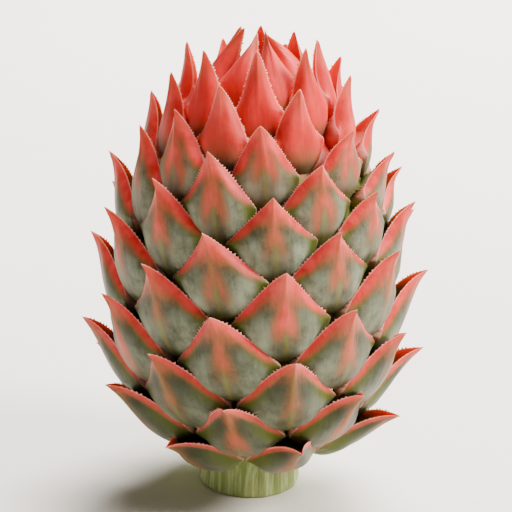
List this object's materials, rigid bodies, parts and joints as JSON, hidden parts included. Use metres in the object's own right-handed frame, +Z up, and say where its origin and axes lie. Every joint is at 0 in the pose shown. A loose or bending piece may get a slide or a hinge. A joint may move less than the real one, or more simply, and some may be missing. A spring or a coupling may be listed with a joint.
{
  "type": "pineapple",
  "caption": "Young red-bracted pineapple as picked: a short cut stem, a fleshy body and a spiral of pointed bracts closed into a crown bud on top.",
  "frame": {"origin": "middle of the stem's flat cut face, which the fruit stands on", "axes": "+Z up along the stem and the fruit's axis, towards the crown bud; -Y is the side seen from the front; +X to the right of it"},
  "size_m": [0.0869, 0.0865, 0.1208],
  "materials": {
    "stem": "satin",
    "flesh": "satin",
    "bract": "satin",
    "crown": "satin"
  },
  "bodies": {
    "root": {"stem": "stem", "fruit_body": "flesh", "bract_01": "bract", "bract_02": "bract", "bract_03": "bract", "bract_04": "bract", "bract_05": "bract", "bract_06": "bract", "bract_07": "bract", "bract_08": "bract", "bract_09": "bract", "bract_10": "bract", "bract_11": "bract", "bract_12": "bract", "bract_13": "bract", "bract_14": "bract", "bract_15": "bract", "bract_16": "bract", "bract_17": "bract", "bract_18": "bract", "bract_19": "bract", "bract_20": "bract", "bract_21": "bract", "bract_22": "bract", "bract_23": "bract", "bract_24": "bract", "bract_25": "bract", "bract_26": "bract", "bract_27": "bract", "bract_28": "bract", "bract_29": "bract", "bract_30": "bract", "bract_31": "bract", "bract_32": "bract", "bract_33": "bract", "bract_34": "bract", "bract_35": "bract", "bract_36": "bract", "bract_37": "bract", "bract_38": "bract", "bract_39": "bract", "bract_40": "bract", "bract_41": "bract", "bract_42": "bract", "bract_43": "bract", "bract_44": "bract", "bract_45": "bract", "bract_46": "bract", "bract_47": "bract", "bract_48": "bract", "bract_49": "bract", "bract_50": "bract", "bract_51": "bract", "bract_52": "bract", "bract_53": "bract", "bract_54": "bract", "bract_55": "bract", "bract_56": "bract", "bract_57": "bract", "crown_bud": "crown"}
  },
  "joints": []
}
